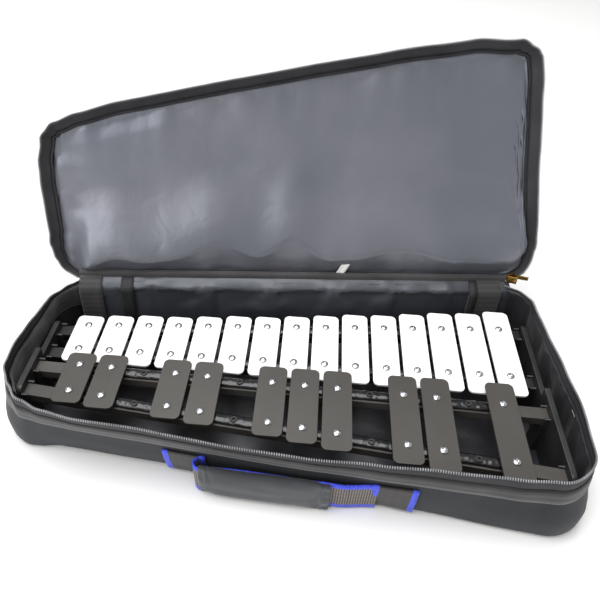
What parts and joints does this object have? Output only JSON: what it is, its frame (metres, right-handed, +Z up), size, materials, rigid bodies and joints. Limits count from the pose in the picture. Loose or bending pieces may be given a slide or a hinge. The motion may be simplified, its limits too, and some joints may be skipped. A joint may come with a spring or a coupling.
{
  "type": "bell kit xylophone in case",
  "caption": "Metal-bar xylophone with two rows of screwed bars on a rail frame, resting in a tapered soft zipped case with open lid and carry handle.",
  "frame": {"origin": "middle of the case's underside, on the surface the case lies on", "axes": "+X along the case to the bass end, +Y to the hinge side, +Z up"},
  "size_m": [0.5144, 0.3392, 0.3023],
  "materials": {
    "white_bar_paint": "gloss",
    "dark_bar_paint": "satin",
    "rail_paint": "satin",
    "cushion_rubber": "gloss",
    "post_rubber": "matte",
    "felt": "matte",
    "screw_steel": "polished",
    "plate_plastic": "matte",
    "outer_nylon": "matte",
    "hardboard": "matte",
    "foam": "matte",
    "lining_satin": "satin",
    "grosgrain": "ribbed",
    "piping": "matte",
    "zip_tape": "matte",
    "zip_coil": "satin",
    "black_webbing": "ribbed",
    "label_cloth": "matte",
    "zip_brass": "satin",
    "blue_edged_webbing": "ribbed",
    "sleeve_nylon": "matte"
  },
  "bodies": {
    "case": {"base_shell": "outer_nylon", "base_board": "hardboard", "base_padding": "foam", "base_lining": "lining_satin", "base_band": "grosgrain", "base_piping": "piping", "base_zip_tape": "zip_tape", "base_zip_coil": "zip_coil", "hinge_panel": "lining_satin", "hinge_webbing_treble": "black_webbing", "hinge_webbing_bass": "black_webbing", "handle_patch_treble": "blue_edged_webbing", "handle_patch_bass": "blue_edged_webbing"},
    "lid": {"lid_shell": "outer_nylon", "lid_padding": "foam", "lid_lining": "lining_satin", "lid_piping": "piping", "lid_zip_tape": "zip_tape", "lid_zip_coil": "zip_coil", "care_label": "label_cloth"},
    "instrument": {"natural_bar_01": "white_bar_paint", "natural_bar_02": "white_bar_paint", "natural_bar_03": "white_bar_paint", "natural_bar_04": "white_bar_paint", "natural_bar_05": "white_bar_paint", "natural_bar_06": "white_bar_paint", "natural_bar_07": "white_bar_paint", "natural_bar_08": "white_bar_paint", "natural_bar_09": "white_bar_paint", "natural_bar_10": "white_bar_paint", "natural_bar_11": "white_bar_paint", "natural_bar_12": "white_bar_paint", "natural_bar_13": "white_bar_paint", "natural_bar_14": "white_bar_paint", "natural_bar_15": "white_bar_paint", "sharp_bar_01": "dark_bar_paint", "sharp_bar_02": "dark_bar_paint", "sharp_bar_03": "dark_bar_paint", "sharp_bar_04": "dark_bar_paint", "sharp_bar_05": "dark_bar_paint", "sharp_bar_06": "dark_bar_paint", "sharp_bar_07": "dark_bar_paint", "sharp_bar_08": "dark_bar_paint", "sharp_bar_09": "dark_bar_paint", "sharp_bar_10": "dark_bar_paint", "natural_rail_back": "rail_paint", "natural_rail_front": "rail_paint", "sharp_rail_back": "rail_paint", "sharp_rail_front": "rail_paint", "rail_cushions": "cushion_rubber", "bar_posts": "post_rubber", "felt_washers": "felt", "natural_screws": "screw_steel", "sharp_screws": "screw_steel", "end_plate_treble": "plate_plastic", "end_plate_bass": "plate_plastic"},
    "handle": {"handle_strap": "blue_edged_webbing", "handle_sleeve": "sleeve_nylon"},
    "zip_slider": {"zip_slider": "zip_brass"},
    "zip_pull": {"zip_pull": "zip_brass"}
  },
  "joints": [
    {"name": "lid_hinge", "type": "hinge", "parent": "case", "child": "lid", "pos_m": [0, 0.10395, 0.07065], "axis": [-0.9954, -0.0961, 0], "range_deg": [-108, 70]},
    {"name": "instrument_lift", "type": "slide", "parent": "case", "child": "instrument", "axis": [0, 0, 1], "range_m": [0, 0.12]},
    {"name": "handle_swing", "type": "hinge", "parent": "case", "child": "handle", "pos_m": [0.00762, -0.10529, 0.0385], "axis": [-0.9954, 0.0961, 0], "range_deg": [0, 85]},
    {"name": "zip_slider_travel", "type": "hinge", "parent": "case", "child": "zip_slider", "pos_m": [0.21205, 0.08524, 0.07065], "axis": [0, 0, -1], "range_deg": [0, 70]},
    {"name": "zip_pull_swing", "type": "hinge", "parent": "zip_slider", "child": "zip_pull", "pos_m": [0.21913, 0.12288, 0.07065], "axis": [0, 0, 1], "range_deg": [0, 60]}
  ]
}
